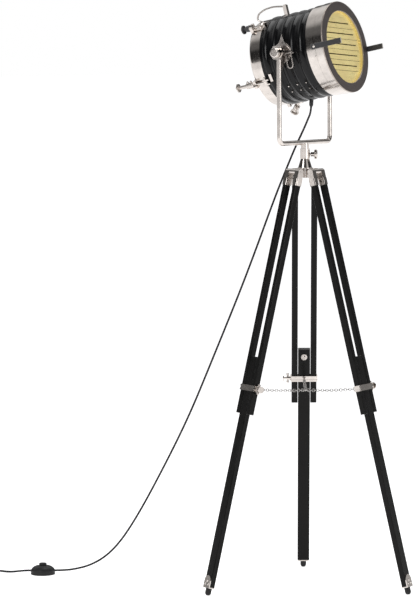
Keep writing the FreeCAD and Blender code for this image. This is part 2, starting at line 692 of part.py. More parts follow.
def trunnion_knob(side):
    """A knob with a six-sided flange and a grooved round cap, on the outside of one arm."""
    start = ARM_OUTER + BODY_GAP
    corners = [V(KNOB_FLANGE_RADIUS * math.cos(math.radians(a)), start,
                 TRUNNION_HEIGHT + KNOB_FLANGE_RADIUS * math.sin(math.radians(a))) for a in range(0, 360, 60)]
    flange = Part.Face(Part.Wire(outline(corners))).extrude(Y_AXIS * KNOB_FLANGE_LENGTH)
    flange = rounded(flange, KNOB_FLANGE_RADIUS * KNOB_CORNER_SHARE, Y_AXIS)
    neck_start = start + KNOB_FLANGE_LENGTH
    cap_start = neck_start + KNOB_NECK_LENGTH
    neck = rod(V(0, neck_start, TRUNNION_HEIGHT), Y_AXIS, KNOB_NECK_RADIUS, KNOB_NECK_LENGTH)
    cap = rod(V(0, cap_start, TRUNNION_HEIGHT), Y_AXIS, KNOB_CAP_RADIUS, KNOB_CAP_LENGTH)
    end = cap_start + KNOB_CAP_LENGTH
    rim = [e for e in cap.Edges if e.Closed and e.BoundBox.YMin > end - 0.1]
    cap = cap.makeFillet(KNOB_CAP_ROUNDING, rim)
    knob = fused([flange, neck, cap])
    bore_length = TRUNNION_PIN_IN_KNOB + BODY_GAP
    knob = knob.cut(rod(V(0, start, TRUNNION_HEIGHT), Y_AXIS, TRUNNION_PIN_RADIUS + RUNNING_FIT, bore_length))
    if side > 0:
        return knob
    return turned(knob, 180, Z_AXIS)


# ---- head, in the head's frame ----
def ribbed_line():
    """The drum's outer line, from the front to the back, as one arc over each rib."""
    edges = []
    here = V(DRUM_HALF_LENGTH, 0, DRUM_RADIUS)
    for k in range(RIB_COUNT):
        middle = RIB_MIDDLE_AT + (RIB_COUNT // 2 - k) * RIB_PITCH
        start = V(middle + RIB_WIDTH / 2, 0, DRUM_RADIUS)
        end = V(middle - RIB_WIDTH / 2, 0, DRUM_RADIUS)
        edges.append(Part.LineSegment(here, start).toShape())
        edges.append(Part.Arc(start, V(middle, 0, RIB_RADIUS), end).toShape())
        here = end
    edges.append(Part.LineSegment(here, V(-DRUM_HALF_LENGTH, 0, DRUM_RADIUS)).toShape())
    return edges


def drum_ring(inner):
    """The ribbed drum, from an inner radius out."""
    front = V(DRUM_HALF_LENGTH, 0, inner)
    back = V(-DRUM_HALF_LENGTH, 0, inner)
    edges = ribbed_line()
    edges.append(Part.LineSegment(V(back.x, 0, DRUM_RADIUS), back).toShape())
    edges.append(Part.LineSegment(back, front).toShape())
    edges.append(Part.LineSegment(front, V(front.x, 0, DRUM_RADIUS)).toShape())
    return spun(edges)


def drum_body():
    return drum_ring(DRUM_RADIUS - DRUM_WALL).cut(gland_thread())


def off_the_drum(shape):
    """Takes off what would be inside the drum's outer line or its rear ring's."""
    rear = rod(V(-FAR_OUT, 0, 0), X_AXIS, REAR_RING_RADIUS, FAR_OUT)
    return shape.cut(drum_ring(0)).cut(rear)


def front_band():
    """A polished band in two steps, with a seam between them and a flange on the drum's end."""
    front = V(BAND_STEP_AT, 0, 0)
    rear = V(DRUM_HALF_LENGTH, 0, 0)
    inner = BAND_REAR_RADIUS - BAND_WALL
    wide = tube(front, X_AXIS, BAND_RADIUS, inner, BAND_END - BAND_STEP_AT)
    narrow = tube(rear, X_AXIS, BAND_REAR_RADIUS, inner, BAND_STEP_AT - DRUM_HALF_LENGTH)
    flange = tube(rear, X_AXIS, BAND_REAR_RADIUS, DRUM_RADIUS - DRUM_WALL, BAND_WALL)
    seam = tube(front, X_AXIS, BAND_RADIUS + 1, BAND_REAR_RADIUS - BAND_SEAM_DEPTH, BAND_SEAM_WIDTH)
    return fused([wide, narrow, flange]).cut(seam)


def face_ring():
    start = V(BAND_END, 0, 0)
    ring = tube(start, X_AXIS, BAND_RADIUS, FACE_OPENING_RADIUS, FACE_THICKNESS)
    rim = [e for e in ring.Edges if e.Closed and e.BoundBox.XMin > FACE_AT - 0.1]
    return ring.makeFillet(FACE_THICKNESS * 0.3, rim)


def reflector():
    """The gold drum between the face ring and the louvre."""
    outer = FACE_OPENING_RADIUS + REFLECTOR_WALL
    return tube(V(LOUVRE_AT, 0, 0), X_AXIS, outer, FACE_OPENING_RADIUS, BAND_END - LOUVRE_AT)


def louvre():
    """The gold plate behind the reflector, with slots that are wide and narrow in turn."""
    back = LOUVRE_AT - REFLECTOR_WALL
    plate = rod(V(back, 0, 0), X_AXIS, FACE_OPENING_RADIUS + REFLECTOR_WALL, REFLECTOR_WALL)
    slots = []
    for k in range(LOUVRE_COUNT):
        wide = k % 2 == 0
        half_height = (WIDE_SLOT_HEIGHT if wide else NARROW_SLOT_HEIGHT) / 2
        shortfall = WIDE_SLOT_SHORTFALL if wide else NARROW_SLOT_SHORTFALL
        height = LOUVRE_RISE + ((LOUVRE_COUNT - 1) / 2 - k) * LOUVRE_PITCH
        half_length = math.sqrt(FACE_OPENING_RADIUS ** 2 - height ** 2) - shortfall
        slots.append(box(back - 1, LOUVRE_AT + 1, -half_length, half_length, height - half_height,
                         height + half_height))
    return plate.cut(slots)


def side_bars():
    """Two flat bars on the front band that reach past the face."""
    bars = []
    for side, end in BAR_ENDS.items():
        near, far = sorted((side * BAND_RADIUS, side * (BAND_RADIUS + BAR_THICKNESS)))
        bars.append(box(BAR_START, end, near, far, -BAR_HEIGHT / 2, BAR_HEIGHT / 2))
    return group(bars)


def head_rivets():
    """The side bars' screws, the band's rivet and the rivets low on the drum's near side."""
    pieces = []
    for side in (-1, 1):
        base = V(BAR_SCREW_AT, side * (BAND_RADIUS + BAR_THICKNESS), 0)
        pieces.append(domed(base, Y_AXIS * side, BAR_SCREW_RADIUS, BAR_SCREW_LENGTH))
    on_band = domed(V(BAR_SCREW_AT - RIVET_RADIUS, -BAND_REAR_RADIUS, 0), -Y_AXIS, RIVET_RADIUS, RIVET_LENGTH)
    pieces.append(turned(on_band, BAND_RIVET_ANGLE))
    for angle in RIVET_ANGLES:
        for at in RIVETS_AT:
            stem = rod(V(at, -DRUM_RADIUS, 0), -Y_AXIS, RIVET_RADIUS, RIB_HEIGHT + RIVET_LENGTH)
            pieces.append(turned(stem, angle).cut(drum_ring(0)))
    return group(pieces + [latch()])


def diamond(half_length, half_height):
    """A four-pointed outline with hollow sides, in the XZ plane."""
    tips = [V(half_length, 0, 0), V(0, 0, half_height), V(-half_length, 0, 0), V(0, 0, -half_height)]
    sharper = math.atan(min(half_length, half_height) / max(half_length, half_height))
    hollow = math.hypot(half_length, half_height) / 2 * math.tan(TRUNNION_PLATE_HOLLOW * sharper / 2)
    edges = []
    for a, b in zip(tips, tips[1:] + tips[:1]):
        inward = (b - a).cross(Y_AXIS)
        inward.normalize()
        if inward.dot(a) > 0:
            inward = inward * -1
        edges.append(Part.Arc(a, (a + b) * 0.5 + inward * hollow, b).toShape())
    return Part.Face(Part.Wire(edges))


def trunnion_plate(side):
    """A cast plate that stands upright on a pad, with the boss and pin that turn in the yoke's arm."""
    face = TRUNNION_PLATE_AT + TRUNNION_PLATE_THICKNESS
    outer = Y_AXIS * side
    blade = diamond(TRUNNION_PLATE_LENGTH / 2, TRUNNION_PLATE_HEIGHT / 2)
    blade.translate(outer * TRUNNION_PLATE_AT)
    blade = turned(blade.extrude(outer * TRUNNION_PLATE_THICKNESS), PITCH, Y_AXIS)
    pad = rod(V(), outer, TRUNNION_PAD_RADIUS, TRUNNION_PLATE_AT)
    pad.transformShape(trunnion_to_head().toMatrix())
    pad = pad.cut(drum_ring(0))
    pad.transformShape(trunnion_to_head().inverse().toMatrix())
    boss_end = ARM_INNER - BODY_GAP
    boss = rod(outer * face, outer, TRUNNION_BOSS_RADIUS, boss_end - face)
    pin_end = ARM_OUTER + BODY_GAP + TRUNNION_PIN_IN_KNOB
    pin = rod(outer * boss_end, outer, TRUNNION_PIN_RADIUS, pin_end - boss_end)
    return fused([blade, pad, boss, pin])


def trunnion_to_head():
    return head_frame().inverse() * trunnion_frame()


def safety_loop():
    """A wire loop that hangs in front of the near trunnion plate, under a round screw."""
    at = -TRUNNION_PLATE_AT - TRUNNION_PLATE_THICKNESS - LOOP_BAR_RADIUS
    half = LOOP_WIDTH / 2 - LOOP_WIRE_RADIUS
    bottom = LOOP_TOP - LOOP_LENGTH + LOOP_WIDTH / 2
    top = LOOP_TOP + half
    left = [V(LOOP_AT - half, at, top), V(LOOP_AT - half, at, bottom)]
    right = [V(LOOP_AT + half, at, bottom), V(LOOP_AT + half, at, top)]
    path = Part.Wire([
        Part.LineSegment(left[0], left[1]).toShape(),
        Part.Arc(left[1], V(LOOP_AT, at, bottom - half), right[0]).toShape(),
        Part.LineSegment(right[0], right[1]).toShape(),
    ])
    bar = rod(left[0] - X_AXIS * LOOP_BAR_RADIUS, X_AXIS, LOOP_BAR_RADIUS, 2 * (half + LOOP_BAR_RADIUS))
    screw_at = LOOP_SCREW_AT - Y_AXIS * (TRUNNION_PLATE_AT + TRUNNION_PLATE_THICKNESS)
    screw = domed(screw_at, -Y_AXIS, LOOP_SCREW_RADIUS, LOOP_SCREW_RADIUS)
    return group([fused([swept(path, LOOP_WIRE_RADIUS), bar]).cut(screw), screw])


def trunnion_plates():
    return group([trunnion_plate(-1), trunnion_plate(1), safety_loop()])


def rear_ring():
    """The polished ring behind the drum, with a forked lug for each swing bolt."""
    start = V(REAR_RING_END, 0, 0)
    length = -DRUM_HALF_LENGTH - REAR_RING_END
    ring = rod(start, X_AXIS, REAR_RING_RADIUS, length)
    rim = [e for e in ring.Edges if e.Closed and e.BoundBox.XMax < start.x + 1]
    ring = ring.makeFillet(REAR_RING_ROUNDING, rim)
    inner = REAR_RING_RADIUS - REAR_RING_WALL
    pieces = [ring]
    slots = []
    for angle, _, _, _ in SWING_BOLTS.values():
        lug = box(REAR_RING_END, REAR_RING_END + SWING_LUG_LENGTH, -SWING_LUG_RISE, -inner,
                  -SWING_LUG_WIDTH / 2, SWING_LUG_WIDTH / 2)
        gap = SWING_BOLT_RADIUS + RUNNING_FIT
        floor = SWING_RADIUS - SWING_BOLT_RADIUS - BODY_GAP
        slot = box(REAR_RING_END - 1, REAR_RING_END + SWING_LUG_LENGTH + 1, -FAR_OUT, -floor, -gap, gap)
        pieces.append(turned(lug, angle))
        slots.append(turned(slot, angle))
    bore = rod(start, X_AXIS, inner, length)
    return fused(pieces).cut(slots + [bore])


def rear_dome():
    """The dished cover inside the rear ring."""
    radius = REAR_RING_RADIUS - REAR_RING_WALL
    flange_at = REAR_RING_END + REAR_RING_ROUNDING
    flange = tube(V(flange_at, 0, 0), X_AXIS, radius, radius - 2 * REAR_DOME_WALL, REAR_DOME_WALL)
    outer = dome(radius, REAR_DOME_DEPTH, flange_at)
    inner = dome(radius - REAR_DOME_WALL, REAR_DOME_DEPTH - REAR_DOME_WALL, flange_at)
    return fused([outer.cut(inner), flange])


def dome(radius, depth, base):
    """A cap of a sphere that bulges to the back from its base circle."""
    sphere_radius = (radius ** 2 + depth ** 2) / (2 * depth)
    ball = Part.makeSphere(sphere_radius, V(base - depth + sphere_radius, 0, 0))
    return ball.common(rod(V(base - depth, 0, 0), X_AXIS, radius, depth))


def swing_pivot():
    return V(SWING_PIVOT_AT, -SWING_RADIUS, 0)


def leaned(shape, letter):
    """Leans a shape on a bolt's line away from the drum, and takes it round the drum to its bolt."""
    angle, _, lean, _ = SWING_BOLTS[letter]
    return turned(turned(shape, lean, Z_AXIS, swing_pivot()), angle)


def swing_bolts():
    """Four bolts on pivots across the drum, with the brackets that carry them."""
    bolts = []
    pivot = swing_pivot()
    for letter, (angle, length, _, _) in SWING_BOLTS.items():
        eye = rod(pivot - Z_AXIS * SWING_EYE_LENGTH / 2, Z_AXIS, SWING_EYE_RADIUS, SWING_EYE_LENGTH)
        shank = rod(pivot, -X_AXIS, SWING_BOLT_RADIUS, length)
        tip = Part.makeSphere(BOLT_TIP_RADIUS, pivot - X_AXIS * (length + NUT_WING_LENGTH))
        neck = rod(pivot - X_AXIS * length, -X_AXIS, SWING_PIVOT_RADIUS, NUT_WING_LENGTH)
        bolt = leaned(fused([eye, shank, neck, tip]), letter)
        low_end = pivot - Z_AXIS * SWING_PIVOT_LENGTH / 2
        pieces = [rod(low_end, Z_AXIS, SWING_PIVOT_RADIUS, SWING_PIVOT_LENGTH)]
        for side in (-1, 1):
            start = SWING_EYE_LENGTH / 2
            low, high = sorted((side * start, side * (start + SWING_BRACKET_THICKNESS)))
            cheek = box(pivot.x - SWING_EYE_RADIUS, pivot.x + 2 * SWING_EYE_RADIUS,
                        pivot.y - SWING_PIVOT_RADIUS - 1, 0, low, high)
            pieces.append(cheek)
        bracket = off_the_drum(turned(fused(pieces), angle))
        bolts.append(fused([bracket, bolt]))
    return group(bolts)


def swing_nut(letter):
    """A thumb nut behind the rear ring: a sleeve with two studs, a waist and an end disc."""
    _, length, lean, sleeve_length = SWING_BOLTS[letter]
    pivot = swing_pivot()
    face = REAR_RING_END - BODY_GAP
    if lean:
        face = SWING_PIVOT_AT - length + sleeve_length + NUT_WING_GAP + NUT_WING_LENGTH
    sleeve = rod(V(face - sleeve_length, pivot.y, 0), X_AXIS, NUT_RADIUS, sleeve_length)
    disc_at = SWING_PIVOT_AT - length
    waist = rod(V(disc_at, pivot.y, 0), X_AXIS, NUT_WING_WAIST, face - sleeve_length - disc_at)
    disc = rod(V(disc_at, pivot.y, 0), X_AXIS, NUT_WING_RADIUS, NUT_WING_LENGTH)
    pieces = [sleeve, waist, disc]
    for share in (0.3, 0.75):
        base = V(face - sleeve_length * share, pivot.y, 0)
        pieces.append(rod(base, Z_AXIS, NUT_STUD_RADIUS, NUT_RADIUS + NUT_STUD_RISE))
    bore = rod(V(disc_at, pivot.y, 0), X_AXIS, SWING_BOLT_RADIUS + RUNNING_FIT, face - disc_at)
    return leaned(fused(pieces).cut(bore), letter)


def handle():
    """A bent rod from the rear ring up over the drum to a lug on its second rib."""
    line = (HANDLE_REAR, HANDLE_KNEE, HANDLE_BACK, HANDLE_RISE, HANDLE_TOP, HANDLE_FRONT)
    points = [V(at, -radius, 0) for at, radius in line]
    path, _ = route(points)
    bar = swept(path, HANDLE_ROD_RADIUS)
    lug_at = HANDLE_FRONT[0]
    half_width = HANDLE_LUG_WIDTH / 2
    lug = box(lug_at, lug_at + HANDLE_LUG_LENGTH, -HANDLE_LUG_RISE, 0, -half_width, half_width)
    cap = rod(V(lug_at + HANDLE_LUG_LENGTH / 2, -HANDLE_LUG_RISE, 0), -Y_AXIS, HANDLE_LUG_WIDTH * 0.4, 2)
    return off_the_drum(turned(fused([bar, lug, cap]), HANDLE_ANGLE))


def latch():
    """A small toggle lever on the drum behind the near arm."""
    lever = box(LATCH_START, LATCH_START + LATCH_WIDTH, -RIB_RADIUS - LATCH_THICKNESS, 0,
                -LATCH_LENGTH / 2, LATCH_LENGTH / 2)
    return off_the_drum(turned(lever, LATCH_ANGLE))


# ---- lamp inside ----
def bulb():
    ball = Part.makeSphere(BULB_RADIUS, V(BULB_CENTRE, 0, 0))
    neck = rod(V(BULB_NECK_END, 0, 0), X_AXIS, BULB_NECK_RADIUS, BULB_CENTRE - BULB_NECK_END)
    return fused([ball, neck])


def lamp_holder():
    """The ceramic holder on a bracket that spans the drum behind the bulb."""
    cup = rod(V(HOLDER_START, 0, 0), X_AXIS, HOLDER_RADIUS, HOLDER_END - HOLDER_START)
    cup = cup.cut(rod(V(BULB_NECK_END, 0, 0), X_AXIS, BULB_NECK_RADIUS, HOLDER_END - BULB_NECK_END))
    cross = box(HOLDER_START, HOLDER_START + BRACKET_THICKNESS, -DRUM_RADIUS, DRUM_RADIUS,
                -BRACKET_WIDTH / 2, BRACKET_WIDTH / 2)
    inside = rod(V(-DRUM_HALF_LENGTH, 0, 0), X_AXIS, DRUM_RADIUS - DRUM_WALL, 2 * DRUM_HALF_LENGTH)
    return fused([cup, cross.common(inside)])


# ---- cable gland ----
def gland_axis():
    """The gland's start, straight under the beam axis, and the way it points."""
    angle = math.radians(GLAND_TILT)
    level = FreeCAD.Rotation(X_AXIS, DRUM_ROLL)
    start = level.multVec(V(GLAND_AT, 0, -RIB_RADIUS))
    return start, level.multVec(V(-math.sin(angle), 0, -math.cos(angle)))


def gland_thread():
    start, down = gland_axis()
    return rod(start - down * 3 * DRUM_WALL, down, GLAND_THREAD_RADIUS, 4 * DRUM_WALL)


def gland():
    """A threaded gland through the drum, with a collar outside and a cone round the cord."""
    start, down = gland_axis()
    straight = GLAND_LENGTH - GLAND_CAP_LENGTH
    collar = rod(start - down * RIB_HEIGHT, down, GLAND_RADIUS, straight + RIB_HEIGHT)
    collar = collar.cut(drum_ring(0))
    cap = Part.makeCone(GLAND_RADIUS, CORD_RADIUS + 1, GLAND_CAP_LENGTH, start + down * straight, down)
    return fused([collar, cap, gland_thread()])


def gland_exit():
    """The gland's tip and the point to which the cord goes straight on, in the lamp's frame."""
    start, down = gland_axis()
    return [head_frame().multVec(start + down * reach) for reach in (GLAND_LENGTH, GLAND_LENGTH + GLAND_RUN)]


# ---- cord ----
def route(points):
    """Straight runs joined by tangent arcs, each as large as its two runs allow, and the arcs' radii."""
    edges = []
    radii = []
    here = points[0]
    for before, corner, after in zip(points, points[1:], points[2:]):
        back = before - corner
        on = after - corner
        turn = math.pi - back.getAngle(on)
        cut = BEND_SHARE * min(back.Length, on.Length)
        radii.append(cut / math.tan(turn / 2))
        back.normalize()
        on.normalize()
        start = corner + back * cut
        end = corner + on * cut
        inward = back + on
        inward.normalize()
        reach = math.hypot(radii[-1], cut)
        middle = corner + inward * (reach - radii[-1])
        edges.append(Part.LineSegment(here, start).toShape())
        edges.append(Part.Arc(start, middle, end).toShape())
        here = end
    edges.append(Part.LineSegment(here, points[-1]).toShape())
    return Part.Wire(edges), radii


def cord_along(name, points):
    """A cord's tube, with its bends and its volume compared with section times length."""
    path, radii = route(points)
    solid = swept(path, CORD_RADIUS)
    section = math.pi * CORD_RADIUS ** 2
    print(f"{name}: length {path.Length:.1f}, volume over section {solid.Volume / section:.1f}, "
          f"least radius {min(radii):.1f}")
    print("  radii " + " ".join(f"{r:.0f}" for r in radii))
    return solid


def main_cord():
    """The cord from the gland to the foot switch, cut into the stretches of three bodies."""
    points = gland_exit() + [V(*p) for p in CORD_POINTS] + [switch_port(1)]
    whole = cord_along("cord", points)
    reach = 2 * (HEAD_CORD_CUT + YOKE_SPAN)
    across = V(0, -reach / 2, TRUNNION_HEIGHT)
    near_head = placed(rod(across, Y_AXIS, HEAD_CORD_CUT - FACE_GAP, reach), yoke_frame())
    past_head = placed(rod(across, Y_AXIS, HEAD_CORD_CUT + FACE_GAP, reach), yoke_frame())
    wide = 2 * abs(SWITCH_CENTRE.x)
    above = box(-wide, wide, -wide, wide, YOKE_CORD_CUT + FACE_GAP, 2 * TRUNNION_HEIGHT)
    below = box(-wide, wide, -wide, wide, -wide, YOKE_CORD_CUT - FACE_GAP)
    return whole.common(near_head), whole.common(above).cut(past_head), whole.common(below)


# ---- foot switch ----
def switch_port(side):
    """Where the cord meets the switch, on its +X or -X side."""
    return SWITCH_CENTRE + V(side * SWITCH_RADIUS, 0, SWITCH_CORD_HEIGHT)


def switch_base():
    base = rod(SWITCH_CENTRE, Z_AXIS, SWITCH_RADIUS, SWITCH_BASE_HEIGHT)
    rim = [e for e in base.Edges if e.Closed and e.BoundBox.ZMax < 0.1]
    return base.makeChamfer(1.0, rim)


def switch_cover():
    """A round dome on the base, with the button's well and two cord ports."""
    low = SWITCH_BASE_HEIGHT
    shoulder = (SWITCH_HEIGHT - low) * 0.55
    top_edge = V(SWITCH_TOP_RADIUS, 0, SWITCH_HEIGHT)
    middle = V((SWITCH_RADIUS + SWITCH_TOP_RADIUS) / 2 + 2, 0, low + shoulder + 2.5)
    edges = [
        Part.LineSegment(V(0, 0, low), V(SWITCH_RADIUS, 0, low)).toShape(),
        Part.LineSegment(V(SWITCH_RADIUS, 0, low), V(SWITCH_RADIUS, 0, low + shoulder / 2)).toShape(),
        Part.Arc(V(SWITCH_RADIUS, 0, low + shoulder / 2), middle, top_edge).toShape(),
        Part.LineSegment(top_edge, V(0, 0, SWITCH_HEIGHT)).toShape(),
        Part.LineSegment(V(0, 0, SWITCH_HEIGHT), V(0, 0, low)).toShape(),
    ]
    cover = spun(edges, Z_AXIS)
    cover.translate(SWITCH_CENTRE)
    well = SWITCH_CENTRE + Z_AXIS * low
    return cover.cut(rod(well, Z_AXIS, BUTTON_RADIUS + BODY_GAP, SWITCH_HEIGHT))


def switch_button():
    start = SWITCH_CENTRE + Z_AXIS * (SWITCH_BASE_HEIGHT + BUTTON_TRAVEL + BODY_GAP)
    end = SWITCH_HEIGHT + BUTTON_RISE
    button = rod(start, Z_AXIS, BUTTON_RADIUS, end - start.z)
    rim = [e for e in button.Edges if e.Closed and e.BoundBox.ZMin > end - 0.1]
    return button.makeFillet(2.5, rim)


# ---- cord past the switch ----
def coil_radius(k):
    """Distance from the coil's centre after k half turns: in along one layer and out along the next."""
    return COIL_OUTER_RADIUS - COIL_PITCH / 2 * min(k, 2 * COIL_HALF_TURNS + 1 - k)


def coil_points():
    """The ends of the coil's half turns, on alternating sides of its centre."""
    low = COIL_CENTRE + Z_AXIS * CORD_RADIUS
    points = []
    for k in range(COIL_HALF_TURNS + COIL_TOP_HALF_TURNS + 2):
        side = 1 if k % 2 == 0 else -1
        layer = 0 if k <= COIL_HALF_TURNS else COIL_LIFT
        points.append(low + V(0, side * coil_radius(k), layer))
    return points


def coil_start():
    return coil_points()[0] + X_AXIS * 2 * CORD_RADIUS


def coil():
    """One unbroken tube: in along the floor, up a layer in the half turn where it turns back, and out."""
    points = coil_points()
    edges = [Part.LineSegment(coil_start(), points[0]).toShape()]
    for k, (a, b) in enumerate(zip(points, points[1:])):
        forward = X_AXIS * (-1 if k % 2 == 0 else 1)
        edges.append(Part.Arc(a, (a + b) / 2 + forward * (b - a).Length / 2, b).toShape())
    last = points[-1]
    side = math.copysign(1, last.y - COIL_CENTRE.y)
    reach = abs(last.y - COIL_CENTRE.y) + COIL_PITCH / 4
    centre = last - Y_AXIS * side * reach
    diagonal = reach * math.sqrt(0.5)
    end = centre - X_AXIS * side * reach
    edges.append(Part.Arc(last, centre + V(-side * diagonal, side * diagonal, 0), end).toShape())
    heading = Y_AXIS * -side
    tip = end + heading * 2 * CORD_RADIUS
    edges.append(Part.LineSegment(end, tip).toShape())
    path = Part.Wire(edges)
    print(f"coil: length {path.Length:.1f}, least gap to itself {self_gap(path):.2f}")
    return swept(path, CORD_RADIUS), tip, heading


def self_gap(path):
    """The least gap between turns, measured on points a millimetre apart along the middle line."""
    count = int(path.Length)
    points = path.discretize(count)
    apart = int(4 * math.pi * CORD_RADIUS)
    least = min((points[i] - points[j]).Length for i in range(count) for j in range(i + apart, count))
    return least - 2 * CORD_RADIUS


def plug(tip, heading):
    """A flat two-pin plug with its relief, lying where the coil's end points."""
    relief = Part.makeCone(CORD_RADIUS + 0.7, PLUG_RELIEF_RADIUS, PLUG_RELIEF_LENGTH, tip, heading)
    start = tip + heading * PLUG_RELIEF_LENGTH
    side = heading.cross(Z_AXIS)
    low = V(start.x, start.y, 0)
    half_back = PLUG_WIDTH * 0.3
    corners = [low - side * half_back, low + side * half_back]
    corners += [low + side * PLUG_WIDTH / 2 + heading * PLUG_LENGTH * 0.4]
    corners += [low + side * PLUG_WIDTH / 2 + heading * PLUG_LENGTH]
    corners += [low - side * PLUG_WIDTH / 2 + heading * PLUG_LENGTH]
    corners += [low - side * PLUG_WIDTH / 2 + heading * PLUG_LENGTH * 0.4]
    body = Part.Face(Part.Wire(outline(corners))).extrude(Z_AXIS * PLUG_THICKNESS)
    body = rounded(body, 3.0, Z_AXIS)
    pins = []
    for sign in (-1, 1):
        base = start + heading * PLUG_LENGTH + side * sign * PLUG_PIN_PITCH / 2
        pins.append(rod(base, heading, PLUG_PIN_RADIUS, PLUG_PIN_LENGTH))
    return group([fused([relief, body])] + pins)


# ---- everything in its place ----
def build():
    nodes = {
        "hub": hub(),
        "mast_socket": mast_socket(),
        "mast_thumbscrew": mast_thumbscrew(),
        "hinge_pins": hinge_pins(),
        "chain_ring": chain_ring(),
    }
    for name, azimuth in LEG_AZIMUTHS.items():
        frame = leg_frame(azimuth)
        nodes[f"leg_{name}_rails"] = placed(leg_rails(), frame)
        nodes[f"leg_{name}_ferrule"] = placed(leg_ferrules(), frame)
        nodes[f"leg_{name}_clamp"] = placed(leg_clamp(), frame)
        nodes[f"leg_{name}_clamp_knob"] = placed(clamp_knob(), frame)
        nodes[f"leg_{name}_chain"] = leg_chain(azimuth)
        nodes[f"leg_{name}_lower"] = placed(leg_slider(), frame)
        nodes[f"leg_{name}_foot_plate"] = placed(leg_fittings(), frame)
        nodes[f"leg_{name}_foot"] = on_the_floor(placed(leg_foot(), frame))
    nodes["yoke"] = placed(yoke(), yoke_frame())
    nodes["trunnion_knob_near"] = placed(trunnion_knob(-1), yoke_frame())
    nodes["trunnion_knob_far"] = placed(trunnion_knob(1), yoke_frame())
    nodes["head_trunnion_plates"] = placed(trunnion_plates(), trunnion_frame())
    head = {
        "head_body": drum_body(),
        "head_front_band": front_band(),
        "head_face_ring": face_ring(),
        "head_reflector": reflector(),
        "head_louvre": louvre(),
        "head_side_bars": side_bars(),
        "head_rivets": head_rivets(),
        "head_rear_ring": rear_ring(),
        "head_rear_cap": rear_dome(),
        "head_swing_bolts": swing_bolts(),
        "head_handle": handle(),
        "head_bulb": bulb(),
        "head_lamp_holder": lamp_holder(),
        "head_gland": gland(),
    }
    for letter in SWING_BOLTS:
        head[f"head_wing_nut_{letter}"] = swing_nut(letter)
    for name, shape in head.items():
        nodes[name] = placed(shape, head_frame())
    nodes["cord_head"], nodes["cord_yoke"], nodes["cord_floor"] = main_cord()
    nodes["switch_base"] = switch_base()
    nodes["switch_cover"] = switch_cover()
    nodes["switch_button"] = switch_button()
    nodes["cord_tail"] = cord_along("tail", [switch_port(-1)] + [V(*p) for p in TAIL_POINTS] + [coil_start()])
    nodes["cord_coil"], tip, heading = coil()
    nodes["plug"] = plug(tip, heading)
    return nodes


os.makedirs("parts", exist_ok=True)
for node, solid in build().items():
    solid.exportStep(f"parts/{node}.step")
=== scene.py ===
import math

import bpy
from mathutils import Matrix, Vector

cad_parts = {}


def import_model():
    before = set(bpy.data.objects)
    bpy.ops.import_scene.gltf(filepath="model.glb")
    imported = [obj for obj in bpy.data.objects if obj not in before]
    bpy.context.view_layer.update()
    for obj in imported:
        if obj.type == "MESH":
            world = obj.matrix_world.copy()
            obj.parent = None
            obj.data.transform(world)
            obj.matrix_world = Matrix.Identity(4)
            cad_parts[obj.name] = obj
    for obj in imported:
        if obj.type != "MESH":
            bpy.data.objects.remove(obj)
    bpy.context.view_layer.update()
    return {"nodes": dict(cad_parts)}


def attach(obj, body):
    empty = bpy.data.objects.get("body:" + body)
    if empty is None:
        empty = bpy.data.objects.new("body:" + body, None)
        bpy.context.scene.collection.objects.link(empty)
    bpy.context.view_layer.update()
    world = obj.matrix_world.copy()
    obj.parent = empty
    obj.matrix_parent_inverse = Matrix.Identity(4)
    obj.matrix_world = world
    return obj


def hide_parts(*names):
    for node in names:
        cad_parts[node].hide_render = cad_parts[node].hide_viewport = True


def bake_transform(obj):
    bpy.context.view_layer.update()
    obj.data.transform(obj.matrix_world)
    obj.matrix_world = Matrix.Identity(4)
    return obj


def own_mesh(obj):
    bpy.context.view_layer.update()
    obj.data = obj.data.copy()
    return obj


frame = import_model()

NODES = frame["nodes"]
SCENE = bpy.context.scene
LEGS = {"back": 90, "left": 210, "right": 330}

# ---- places, in metres, as in the part's source ----
YAW, PITCH, ROLL = 30.5, 11.0, 3.0
SPLAY = 13.8
TRUNNION = Vector((0, 0, 1.287))
HEAD_DROP = 0.008       # from the trunnion line down to the beam axis
HINGE_RADIUS = 0.030    # from the mast axis to a leg's hinge pin
HINGE_HEIGHT = 1.003


def rotation(degrees, axis):
    return Matrix.Rotation(math.radians(degrees), 4, axis)


YOKE = rotation(-YAW, "Z")
TRUNNION_FRAME = YOKE @ Matrix.Translation(TRUNNION) @ rotation(-PITCH, "Y")
HEAD = TRUNNION_FRAME @ Matrix.Translation((0, 0, -HEAD_DROP)) @ rotation(-ROLL, "X")


def leg_frame(azimuth):
    hinge = Matrix.Translation((HINGE_RADIUS, 0, HINGE_HEIGHT))
    return rotation(azimuth, "Z") @ hinge @ rotation(-SPLAY, "Y")


# ---- camera ----
LENS = 186.44           # fitted to the picture, with the place and the turns below
CAMERA_AT = (-0.2090, -7.4597, 1.2788)
CAMERA_TURNS = {"Z": 0.170, "X": -4.478, "Y": 0.321}
CLIP_END = 1000


def camera():
    data = bpy.data.cameras.new("camera")
    data.lens = LENS
    data.clip_end = CLIP_END
    place = Matrix.Identity(4)
    for axis, degrees in CAMERA_TURNS.items():
        place = place @ rotation(degrees, axis)
    obj = bpy.data.objects.new("camera", data)
    obj.matrix_world = Matrix.Translation(CAMERA_AT) @ place @ rotation(90, "X")
    SCENE.collection.objects.link(obj)
    SCENE.camera = obj


camera()

